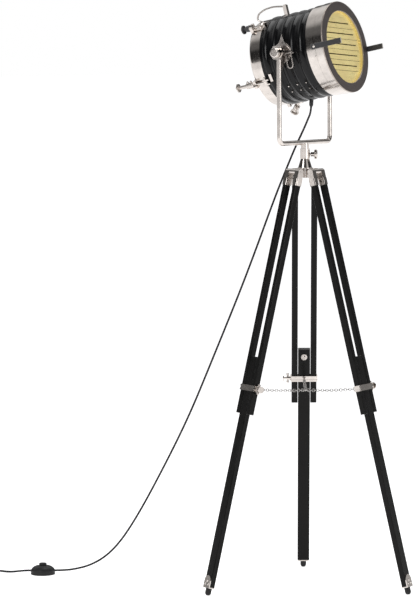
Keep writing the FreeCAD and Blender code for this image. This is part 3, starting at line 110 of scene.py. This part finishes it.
# ---- cords ----
CORD_RADIUS = 0.0025
GLAND_TIP = (0.014622, -0.008613, 1.1583862)
GLAND_RUN_END = (0.0137805, -0.0081174, 1.1444203)
SPLIT = (-0.02106, 0.01797, 1.064)      # the upper stretch ends here
UPPER_ROUTE = [
    GLAND_TIP, GLAND_RUN_END, (0.008, -0.0035, 1.130), (-0.0015, 0.0045, 1.107), (-0.014, 0.0135, 1.080),
    SPLIT,
]
LOWER_ROUTE = [
    SPLIT, (-0.029, 0.023, 1.046), (-0.046, 0.032, 1.004), (-0.066, 0.042, 0.954), (-0.088, 0.052, 0.895),
    (-0.112, 0.061, 0.829), (-0.137, 0.069, 0.762), (-0.163, 0.077, 0.695), (-0.190, 0.085, 0.628),
    (-0.217, 0.092, 0.562), (-0.2435, 0.099, 0.497), (-0.270, 0.106, 0.433), (-0.299, 0.113, 0.369),
    (-0.330, 0.120, 0.306), (-0.362, 0.127, 0.244), (-0.394, 0.134, 0.184), (-0.426, 0.141, 0.129),
    (-0.458, 0.149, 0.082), (-0.492, 0.157, 0.047), (-0.531, 0.165, 0.024), (-0.571, 0.173, 0.013),
    (-0.600, 0.179, 0.0095), (-0.619, 0.179, 0.0095),
]
TAIL_ROUTE = [
    (-0.679, 0.179, 0.0095), (-0.692, 0.179, 0.0095), (-0.709, 0.1825, 0.0074), (-0.727, 0.192, 0.0042),
    (-0.744, 0.206, 0.0028), (-0.758, 0.2185, 0.0025), (-0.774, 0.2265, 0.0025), (-0.787, 0.2265, 0.0025),
]
COIL_CENTRE = (-0.797, 0.192)
COIL_RADIUS = 0.0345
COIL_PITCH = 0.0066
COIL_LIFT = 0.0062
COIL_LOWER, COIL_UPPER = 5, 4   # half turns in each layer
COIL_POINTS = 7                 # per half turn
QUARTER_POINTS = 4
PLUG_RUN = 0.005                # between the points of the straight end at the plug


def coil_reach(k):
    return COIL_RADIUS - COIL_PITCH / 2 * min(k, 2 * COIL_LOWER + 1 - k)


def coil_route():
    """Half turns in to the middle, up a layer, out again, and a quarter turn to the plug."""
    points = []
    steps = COIL_POINTS
    for k in range(COIL_LOWER + COIL_UPPER + 1):
        side = 1 if k % 2 == 0 else -1
        a, b = side * coil_reach(k), -side * coil_reach(k + 1)
        middle, reach = (a + b) / 2, abs(a - b) / 2
        low = CORD_RADIUS + (COIL_LIFT if k > COIL_LOWER else 0)
        for i in range(steps):
            turn = math.pi * (i + 0.5) / steps
            stretch = 1 / math.cos(math.pi / steps / 2)
            rise = COIL_LIFT * (1 - math.cos(turn)) / 2 if k == COIL_LOWER else 0
            points.append((COIL_CENTRE[0] - side * reach * stretch * math.sin(turn),
                           COIL_CENTRE[1] + middle + side * reach * stretch * math.cos(turn), low + rise))
    high = CORD_RADIUS + COIL_LIFT
    last = coil_reach(COIL_LOWER + COIL_UPPER + 1)
    reach = last + COIL_PITCH / 4
    for i in range(QUARTER_POINTS):
        turn = math.pi / 2 * (i + 0.5) / QUARTER_POINTS
        stretch = 1 / math.cos(math.pi / 4 / QUARTER_POINTS)
        points.append((COIL_CENTRE[0] - reach * stretch * math.sin(turn),
                       COIL_CENTRE[1] + last - reach + reach * stretch * math.cos(turn), high))
    end = (COIL_CENTRE[0] - reach, COIL_CENTRE[1] + last - reach, high)
    straight = [(end[0], end[1] - PLUG_RUN * k, high) for k in (1, 2)]
    return points + [end] + straight


def smooth_line(points):
    """Points along the route's spline."""
    curve = bpy.data.curves.new("route", "CURVE")
    curve.dimensions = "3D"
    spline = curve.splines.new("NURBS")
    spline.points.add(len(points) - 1)
    for control, point in zip(spline.points, points):
        control.co = (*point, 1)
    spline.order_u = 3
    spline.use_endpoint_u = True
    spline.resolution_u = 8
    obj = bpy.data.objects.new("route", curve)
    SCENE.collection.objects.link(obj)
    bpy.context.view_layer.update()
    mesh = bpy.data.meshes.new_from_object(obj)
    line = [v.co.copy() for v in mesh.vertices]
    bpy.data.objects.remove(obj)
    bpy.data.curves.remove(curve)
    bpy.data.meshes.remove(mesh)
    return line


def piece(name, vertices, faces, material, smooth=True):
    mesh = bpy.data.meshes.new(name)
    mesh.from_pydata([tuple(v) for v in vertices], [], faces)
    mesh.validate()
    for polygon in mesh.polygons:
        polygon.use_smooth = smooth
    mesh.materials.append(material)
    obj = bpy.data.objects.new(name, mesh)
    SCENE.collection.objects.link(obj)
    return obj


def tube_mesh(line, radius, sides=12):
    """Vertices and faces of a round tube along a line, closed at its ends."""
    last = len(line) - 1
    tangents = [(line[min(i + 1, last)] - line[max(i - 1, 0)]).normalized() for i in range(len(line))]
    side = tangents[0].orthogonal().normalized()
    vertices, faces = [], []
    for i, (point, tangent) in enumerate(zip(line, tangents)):
        side = (side - tangent * side.dot(tangent)).normalized()
        other = tangent.cross(side)
        for k in range(sides):
            turn = 2 * math.pi * k / sides
            vertices.append(point + (side * math.cos(turn) + other * math.sin(turn)) * radius)
        if i:
            low = (i - 1) * sides
            for k in range(sides):
                nxt = (k + 1) % sides
                faces.append((low + k, low + nxt, low + sides + nxt, low + sides + k))
    faces.append(tuple(reversed(range(sides))))
    faces.append(tuple(range(len(vertices) - sides, len(vertices))))
    return vertices, faces


# ---- materials ----
CLOUD_SCALE = 28.0      # scales of the noises, per metre
SCUFF_SCALE = 260.0
FINE_SCALE = 900.0
DUST_SCALE = 22.0
EDGE_SHARPNESS = 6.0    # how fast an edge mark reaches its full strength
WEAR_AND_HIGHLIGHT_WIDTH = 0.0009
PLATE_WEAR_WIDTH = 0.0016
FACE_RIM_HIGHLIGHT_RADII = (0.0885, 0.1088)       # the face ring gets a painted highlight inside the first and outside the second


def tone(colour, factor):
    return tuple(min(1.0, c * factor) for c in colour[:3]) + (1.0,)


class Nodes:
    """A node tree with short calls to add and link nodes."""

    def __init__(self, tree):
        self.tree = tree

    def add(self, kind, inputs=None, **settings):
        node = self.tree.nodes.new("ShaderNode" + kind)
        for key, value in settings.items():
            setattr(node, key, value)
        for key, value in (inputs or {}).items():
            self.put(node, key, value)
        return node

    def put(self, node, key, value):
        socket = node.inputs[key]
        if isinstance(value, bpy.types.NodeSocket):
            self.tree.links.new(value, socket)
        else:
            socket.default_value = value

    def math(self, operation, a, b=0.0, clamp=False):
        node = self.add("Math", operation=operation, use_clamp=clamp)
        self.put(node, 0, a)
        self.put(node, 1, b)
        return node.outputs[0]

    def stretched(self, vector, scale):
        return self.add("Mapping", {"Vector": vector, "Scale": scale}).outputs[0]

    def noise(self, vector, scale, detail=3.0, rough=0.5):
        inputs = {"Vector": vector, "Scale": scale, "Detail": detail, "Roughness": rough}
        return self.add("TexNoise", inputs).outputs[0]

    def ramp(self, value, stops):
        """Greys along a value, from pairs of a place and a level."""
        node = self.add("ValToRGB", {"Fac": value})
        elements = node.color_ramp.elements
        while len(elements) < len(stops):
            elements.new(1.0)
        for element, (at, level) in zip(elements, stops):
            element.position = at
            element.color = (level, level, level, 1)
        return node.outputs[0]

    def span(self, value, low, high):
        """Maps 0.3 to 0.7, where noise mostly lies, to low to high."""
        inputs = {"Value": value, "From Min": 0.3, "From Max": 0.7, "To Min": low, "To Max": high}
        return self.add("MapRange", inputs).outputs[0]

    def mix(self, factor, a, b):
        node = self.add("Mix", {"Factor": factor}, data_type="RGBA")
        self.put(node, 6, a)
        self.put(node, 7, b)
        return node.outputs[2]

    def bump(self, height, strength, distance):
        inputs = {"Height": height, "Strength": strength, "Distance": distance}
        return self.add("Bump", inputs).outputs[0]


class Shader(Nodes):
    """A material's nodes, with its surface and output at hand."""

    def __init__(self, name):
        self.material = bpy.data.materials.new(name)
        self.material.use_nodes = True
        super().__init__(self.material.node_tree)
        self.surface = self.tree.nodes["Principled BSDF"]
        self.output = self.tree.nodes["Material Output"]

    def set(self, **values):
        for key, value in values.items():
            self.put(self.surface, key.replace("_", " "), value)

    def local(self, matrix):
        """Coordinates in a frame of the object, from the row frame's metres."""
        place = matrix.inverted()
        inputs = {"Vector": self.add("TexCoord").outputs["Object"]}
        inputs.update({"Location": place.to_translation(), "Rotation": place.to_euler()})
        return self.add("Mapping", inputs).outputs[0]

    def base(self):
        """What feeds the base colour."""
        return self.surface.inputs["Base Color"].links[0].from_socket

    def edges(self, radius):
        """1 along convex and concave edges, 0 on the faces."""
        bevel = self.add("Bevel", {"Radius": radius}, samples=4)
        normal = self.add("NewGeometry").outputs["Normal"]
        dot = self.add("VectorMath", operation="DOT_PRODUCT")
        self.put(dot, 0, bevel.outputs[0])
        self.put(dot, 1, normal)
        away = self.math("SUBTRACT", 1.0, dot.outputs["Value"])
        return self.math("MULTIPLY", away, EDGE_SHARPNESS, clamp=True)


def metal(name, colour, rough, matrix, brush, vary=0.12, dark=0.75, bumps=0.04, dent=0.0):
    """Nickel, steel or gold: fine brush marks along one direction, cloudy tarnish and small scuffs.

    brush is the noise's scale along each local axis, small along the marks.
    """
    s = Shader(name)
    place = s.local(matrix)
    marks = s.noise(s.stretched(place, brush), 1.0, 4.0, 0.6)
    cloud = s.noise(place, CLOUD_SCALE, 4.0, 0.6)
    scuff = s.noise(place, SCUFF_SCALE, 2.0, 0.7)
    tarnish = s.span(cloud, 0.0, 1.0)
    s.set(Base_Color=s.mix(tarnish, tone(colour, dark), tone(colour, 1.04)), Metallic=1.0)
    uneven = s.math("ADD", s.span(marks, -vary, vary), s.span(scuff, -vary * 0.2, vary * 0.2))
    cloudy = s.math("ADD", uneven, s.span(cloud, vary * 0.6, -vary * 0.4))
    s.set(Roughness=s.math("ADD", cloudy, rough, clamp=True))
    height = s.math("ADD", marks, s.math("MULTIPLY", scuff, 0.35))
    normal = s.bump(height, bumps, 0.0004)
    if dent:
        dents = s.bump(s.noise(place, 60.0, 2.0, 0.5), dent, 0.002)
        s.put(normal.node, "Normal", dents)
    s.set(Normal=normal)
    return s


def coated(name, colour, rough, matrix, grain, bumps=0.15, vary=0.06, lift=1.3, coat=0.0, edge_wear_and_highlight=None,
           shine=0.3):
    """Paint, rubber or plastic: fine texture, faint stretched grain, dust, and a paler colour along edges
    that is partly wear and partly painted highlight.
    """
    s = Shader(name)
    place = s.local(matrix)
    streak = s.noise(s.stretched(place, grain), 1.0, 4.0, 0.55)
    fine = s.noise(place, FINE_SCALE, 2.0, 0.5)
    dust = s.noise(place, DUST_SCALE, 5.0, 0.65)
    base = s.mix(s.span(dust, 0.0, 1.0), tone(colour, 0.7), tone(colour, lift))
    base = s.mix(s.span(streak, 0.0, 0.5), base, tone(colour, lift * 1.2))
    # the pale edge colour is partly wear and partly a painted highlight along the edges
    if edge_wear_and_highlight:
        wear_and_highlight_edge = s.math("MULTIPLY", s.edges(WEAR_AND_HIGHLIGHT_WIDTH), s.span(dust, 0.1, 0.9), clamp=True)
        base = s.mix(wear_and_highlight_edge, base, (*edge_wear_and_highlight, 1))
    s.set(Base_Color=base, Metallic=0.0, Coat_Weight=coat, Coat_Roughness=0.12)
    s.set(Specular_IOR_Level=shine)
    uneven = s.math("ADD", s.span(streak, -vary, vary), s.span(dust, -vary, vary))
    s.set(Roughness=s.math("ADD", uneven, rough, clamp=True))
    height = s.math("ADD", s.math("MULTIPLY", streak, 0.7), s.math("MULTIPLY", fine, 0.5))
    s.set(Normal=s.bump(height, bumps, 0.0003))
    return s


NICKEL = (0.66, 0.61, 0.57)
STEEL = (0.56, 0.54, 0.52)
IDENTITY = Matrix.Identity(4)


def face_ring_metal():
    """Dark ring with a painted highlight, a lighter colour, on its inner and outer rims."""
    s = metal("face_ring", (0.30, 0.26, 0.25), 0.36, HEAD, (30, 300, 300), vary=0.06, dark=0.8)
    place = s.local(HEAD)
    flat = s.stretched(place, (0, 1, 1))
    radius = s.add("VectorMath", {0: flat}, operation="LENGTH").outputs["Value"]
    inner = s.math("LESS_THAN", radius, FACE_RIM_HIGHLIGHT_RADII[0])
    outer = s.math("GREATER_THAN", radius, FACE_RIM_HIGHLIGHT_RADII[1])
    rim_highlight = s.math("ADD", inner, outer, clamp=True)
    # painted highlight: the rims get a lighter colour where light would catch them
    s.set(Base_Color=s.mix(rim_highlight, s.base(), (0.42, 0.37, 0.33, 1)))
    return s.material


def louvre_gold(name, rough, metallic):
    s = metal(name, (1.0, 0.82, 0.36), rough, HEAD, (200, 30, 300), vary=0.1, dark=0.9, bumps=0.2, dent=0.25)
    s.set(Metallic=metallic)
    return s.material


def knurled(name):
    """Nickel with a diamond knurl, made by two crossed waves."""
    s = metal(name, NICKEL, 0.2, HEAD, (80, 400, 400), vary=0.08)
    place = s.local(HEAD)
    waves = []
    for lean in (0.6, -0.6):
        tilted = s.add("Mapping", {"Vector": place, "Rotation": (lean, 0, 0)}).outputs[0]
        wave = s.add("TexWave", {"Vector": tilted, "Scale": 260.0}, bands_direction="Y")
        waves.append(wave.outputs["Fac"])
    height = s.math("MAXIMUM", waves[0], waves[1])
    normal = s.bump(height, 0.5, 0.0006)
    s.put(normal.node, "Normal", s.surface.inputs["Normal"].links[0].from_socket)
    s.set(Normal=normal)
    return s.material


def frosted_glass():
    s = Shader("frosted_glass")
    place = s.local(HEAD)
    cloud = s.noise(place, 40.0)
    s.set(Base_Color=s.mix(s.span(cloud, 0, 1), (0.86, 0.85, 0.80, 1), (0.97, 0.96, 0.93, 1)))
    s.set(Transmission_Weight=0.35, Roughness=s.span(cloud, 0.35, 0.5), Normal=s.bump(cloud, 0.1, 0.0004))
    return s.material


def plate_metal():
    """Darkened nickel plates whose edges are rubbed bright."""
    s = metal("plate_nickel", (0.34, 0.31, 0.29), 0.26, HEAD, (90, 90, 90), vary=0.1, dark=0.7, bumps=0.08,
              dent=0.2)
    s.set(Base_Color=s.mix(s.edges(PLATE_WEAR_WIDTH), s.base(), (0.80, 0.76, 0.72, 1)))
    return s.material


def side_bar_metal():
    """Dark cast bars, with a painted highlight on their end faces."""
    s = coated("side_bar", (0.030, 0.030, 0.032), 0.5, HEAD, (20, 500, 500), bumps=0.4,
               edge_wear_and_highlight=(0.35, 0.33, 0.31))
    normal = s.add("NewGeometry").outputs["Normal"]
    along = HEAD.to_3x3() @ Vector((1, 0, 0))
    facing = s.add("VectorMath", {0: normal, 1: tuple(along)}, operation="DOT_PRODUCT")
    # painted highlight: faces pointing along the beam, the bars' ends, are given a pale colour
    end = s.math("GREATER_THAN", facing.outputs["Value"], 0.9)
    s.set(Base_Color=s.mix(end, s.base(), (0.55, 0.52, 0.49, 1)))
    return s.material


def dress():
    """Gives every node of the frame its material."""
    paint = coated("drum_paint", (0.004, 0.004, 0.0045), 0.16, HEAD, (700, 40, 40), bumps=0.03, vary=0.04,
                   shine=0.22).material
    steel = metal("rod_nickel", NICKEL, 0.12, IDENTITY, (600, 600, 40), vary=0.06, bumps=0.02).material
    cast = metal("cast_nickel", NICKEL, 0.14, IDENTITY, (160, 160, 160), vary=0.08, dent=0.05).material
    band = metal("band_nickel", NICKEL, 0.14, HEAD, (1200, 14, 14), vary=0.05, bumps=0.04).material
    rear = metal("rear_nickel", NICKEL, 0.13, HEAD, (1200, 14, 14), vary=0.05, bumps=0.04).material
    plates = plate_metal()
    small = metal("small_nickel", NICKEL, 0.17, HEAD, (300, 300, 300)).material
    dark = coated("dark_cast", (0.045, 0.045, 0.047), 0.42, HEAD, (60, 60, 60), bumps=0.5,
                  edge_wear_and_highlight=(0.42, 0.40, 0.37)).material
    cap = coated("rear_cap", (0.03, 0.03, 0.032), 0.34, HEAD, (30, 30, 30), bumps=0.2, coat=0.3).material
    rubber = coated("foot_rubber", (0.014, 0.014, 0.014), 0.6, IDENTITY, (500, 500, 500), bumps=0.5).material
    plastic = coated("switch_plastic", (0.009, 0.009, 0.010), 0.45, IDENTITY, (900, 900, 900),
                     bumps=0.4).material
    ceramic = coated("ceramic", (0.68, 0.67, 0.63), 0.3, HEAD, (60, 60, 60), lift=1.1, coat=0.4).material
    gland = coated("gland_plastic", (0.02, 0.02, 0.021), 0.4, HEAD, (800, 800, 800), bumps=0.3).material
    chain = metal("chain_steel", STEEL, 0.24, IDENTITY, (300, 300, 300), dark=0.6).material
    chosen = {
        "hub": cast, "mast_socket": steel, "mast_thumbscrew": cast, "hinge_pins": cast, "chain_ring": chain,
        "yoke": steel, "trunnion_knob_near": cast, "trunnion_knob_far": cast,
        "head_body": paint, "head_front_band": band, "head_face_ring": face_ring_metal(),
        "head_reflector": louvre_gold("reflector_gold", 0.2, 0.5),
        "head_louvre": louvre_gold("louvre_gold", 0.3, 0.08),
        "head_side_bars": side_bar_metal(), "head_rivets": small, "head_trunnion_plates": plates,
        "head_rear_ring": rear, "head_rear_cap": cap, "head_swing_bolts": small, "head_handle": steel,
        "head_bulb": frosted_glass(), "head_lamp_holder": ceramic, "head_gland": gland,
        "head_wing_nut_a": knurled("knurled_nut"), "head_wing_nut_b": dark, "head_wing_nut_c": small,
        "head_wing_nut_d": small, "switch_base": rubber, "switch_cover": plastic, "switch_button": plastic,
        "plug": plastic,
    }
    for name, azimuth in LEGS.items():
        place = leg_frame(azimuth)
        # the rails' pale edge colour is a painted highlight along their edges, broken up by the dust noise
        rail = coated(f"rail_black_{name}", (0.0045, 0.0042, 0.004), 0.2, place, (700, 700, 12), bumps=0.05,
                      vary=0.05, edge_wear_and_highlight=(0.42, 0.41, 0.40), shine=0.14).material
        for part in ("rails", "lower"):
            chosen[f"leg_{name}_{part}"] = rail
        for part in ("ferrule", "clamp", "clamp_knob", "foot_plate"):
            chosen[f"leg_{name}_{part}"] = cast
        chosen[f"leg_{name}_chain"] = chain
        chosen[f"leg_{name}_foot"] = rubber
    for name, material in chosen.items():
        mesh = NODES[name].data
        mesh.materials.clear()
        mesh.materials.append(material)


dress()
CORD_BLACK = coated("cord_black", (0.010, 0.010, 0.011), 0.4, IDENTITY, (700, 700, 700), bumps=0.1).material


def lay_cords():
    """The cord in three stretches; the tail and coil are attached to the stand."""
    upper = smooth_line(UPPER_ROUTE)
    cord = piece("cord_upper", *tube_mesh(upper, CORD_RADIUS), CORD_BLACK)
    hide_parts("cord_head", "cord_yoke")
    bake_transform(cord)
    lower = smooth_line(LOWER_ROUTE)
    cord = piece("cord_lower", *tube_mesh(lower, CORD_RADIUS), CORD_BLACK)
    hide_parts("cord_floor")
    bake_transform(cord)
    tail = smooth_line(TAIL_ROUTE + coil_route())
    cord = piece("cord_tail_and_coil", *tube_mesh(tail, CORD_RADIUS), CORD_BLACK)
    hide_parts("cord_tail", "cord_coil")
    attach(cord, "stand")


lay_cords()


def gather_chains():
    """Gives each leg its own copy of its chain, attached to the leg's upper part."""
    for name, azimuth in LEGS.items():
        node = NODES[f"leg_{name}_chain"]
        chain = bpy.data.objects.new(f"chain_{name}", node.data.copy())
        chain.matrix_world = node.matrix_world.copy()
        SCENE.collection.objects.link(chain)
        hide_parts(f"leg_{name}_chain")
        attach(chain, f"leg_{name}_upper")
        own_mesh(chain)


gather_chains()


# ---- studio ----
# How bright polished metal sees the world, as pairs of a place and a level. The places run from straight
# down (0) to straight up (1), and round the lamp from behind it (0) past its front (0.5) to behind it (1).
HEIGHT_LEVELS = [(0.0, 0.9), (0.49, 0.85), (0.53, 0.5), (0.57, 0.12), (0.70, 0.08), (0.75, 0.9), (0.86, 1.0),
                 (0.92, 0.25)]
TURN_LEVELS = [(0.0, 1.0), (0.20, 1.0), (0.26, 0.16), (0.33, 0.12), (0.36, 1.0), (0.41, 1.0), (0.44, 0.10),
               (0.56, 0.07), (0.60, 1.0), (0.66, 1.0), (0.69, 0.10), (0.76, 0.14), (0.81, 1.0), (1.0, 1.0)]
PLAIN_LEVEL = (0.55, 0.55, 0.56, 1)
WHITE = (1, 1, 1, 1)
FLOOR_HALF = 200
FLOOR_GLOW = 0.62       # brings the lit floor to white where the camera sees it


def world():
    """White behind the object, plain light on it, and dark bands that only polished metal shows."""
    w = bpy.data.worlds.new("studio")
    w.use_nodes = True
    s = Nodes(w.node_tree)
    s.tree.nodes.clear()
    path = s.add("LightPath").outputs
    way = s.add("SeparateXYZ", {0: s.add("TexCoord").outputs["Generated"]}).outputs
    rise = s.add("MapRange", {"Value": way["Z"], "From Min": -1.0}).outputs[0]
    turn = s.math("ARCTAN2", way["X"], s.math("MULTIPLY", way["Y"], -1.0))
    round_share = s.math("MULTIPLY_ADD", turn, 0.5 / math.pi)
    s.put(round_share.node, 2, 0.5)
    by_height = s.ramp(rise, HEIGHT_LEVELS)
    by_turn = s.ramp(round_share, TURN_LEVELS)
    shown = s.mix(1.0, by_height, by_turn)
    shown.node.blend_type = "MULTIPLY"
    light = s.mix(path["Is Glossy Ray"], PLAIN_LEVEL, shown)
    seen = s.math("MAXIMUM", path["Is Camera Ray"], path["Is Transmission Ray"])
    shader = s.add("Background", {"Color": s.mix(seen, light, WHITE), "Strength": 1.0})
    output = s.add("OutputWorld")
    s.tree.links.new(shader.outputs[0], output.inputs[0])
    SCENE.world = w


def floor():
    """A matt white floor, with a glow that lights nothing else and that the camera and mirrors see."""
    s = Shader("floor")
    s.tree.nodes.remove(s.surface)
    noise = s.noise(s.add("TexCoord").outputs["Object"], 3.0)
    colour = s.mix(s.span(noise, 0, 1), (0.86, 0.86, 0.86, 1), (0.88, 0.88, 0.88, 1))
    matte = s.add("BsdfDiffuse", {"Color": colour})
    glow = s.add("Emission", {"Color": WHITE, "Strength": FLOOR_GLOW})
    path = s.add("LightPath")
    seen = s.math("MAXIMUM", path.outputs["Is Camera Ray"], path.outputs["Is Glossy Ray"])
    seen = s.math("MAXIMUM", seen, path.outputs["Is Transmission Ray"])
    nothing = s.add("Emission", {"Strength": 0.0})
    extra = s.add("MixShader", {0: seen, 1: nothing.outputs[0], 2: glow.outputs[0]})
    both = s.add("AddShader", {0: matte.outputs[0], 1: extra.outputs[0]})
    s.tree.links.new(both.outputs[0], s.output.inputs[0])
    corners = [(FLOOR_HALF * x, FLOOR_HALF * y, 0) for x, y in ((-1, -1), (1, -1), (1, 1), (-1, 1))]
    plane = piece("studio_floor", corners, [(0, 1, 2, 3)], s.material, smooth=False)


def lamp(name, place, target, size, power, stretch=1.0):
    data = bpy.data.lights.new(name, "AREA")
    data.shape = "RECTANGLE"
    data.size = size
    data.size_y = size * stretch
    data.energy = power
    obj = bpy.data.objects.new(name, data)
    obj.location = place
    obj.rotation_euler = (Vector(target) - Vector(place)).to_track_quat("-Z", "Y").to_euler()
    SCENE.collection.objects.link(obj)


world()
floor()
lamp("key", (-2.6, -3.2, 3.0), (0, 0, 0.9), 1.6, 70, 1.6)
lamp("fill", (3.0, -3.6, 1.6), (0, 0, 0.9), 1.2, 30, 2.0)
lamp("top", (0.2, 0.6, 4.2), (0, 0, 1.0), 2.0, 45)

SCENE.view_settings.view_transform = "Standard"
